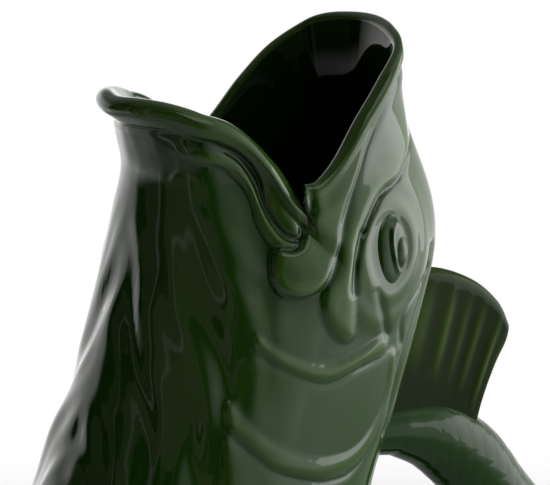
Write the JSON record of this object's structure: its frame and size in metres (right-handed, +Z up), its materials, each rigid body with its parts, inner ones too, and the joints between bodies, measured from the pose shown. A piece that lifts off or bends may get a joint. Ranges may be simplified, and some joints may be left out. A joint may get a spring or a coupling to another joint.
{
  "type": "gurgle jug",
  "caption": "Fish-shaped glazed earthenware gurgle jug: open mouth with spout, hollow tail curled up as the handle.",
  "frame": {"origin": "on the table, midway between the front of the belly and the back of the tail's bow", "axes": "+Z up towards the mouth, +X from the spout to the handle, -Y the fish's left flank"},
  "size_m": [0.184, 0.0888, 0.2534],
  "materials": {
    "green_glaze": "gloss",
    "relief_glaze": "gloss",
    "bare_clay": "matte"
  },
  "bodies": {
    "root": {"body_shell": "green_glaze", "foot_ring": "bare_clay", "lower_lip": "relief_glaze", "upper_lip": "relief_glaze", "left_jaw_fold": "relief_glaze", "right_jaw_fold": "relief_glaze", "left_maxilla": "relief_glaze", "right_maxilla": "relief_glaze", "left_brow_band": "relief_glaze", "right_brow_band": "relief_glaze", "left_eye_socket": "relief_glaze", "right_eye_socket": "relief_glaze", "left_eyeball": "relief_glaze", "right_eyeball": "relief_glaze", "left_cheek_plate": "relief_glaze", "right_cheek_plate": "relief_glaze", "left_gill_cover": "relief_glaze", "right_gill_cover": "relief_glaze", "left_pectoral_fin": "relief_glaze", "right_pectoral_fin": "relief_glaze", "left_pelvic_fin": "relief_glaze", "right_pelvic_fin": "relief_glaze", "tail_handle": "green_glaze", "tail_fin": "green_glaze"}
  },
  "joints": []
}
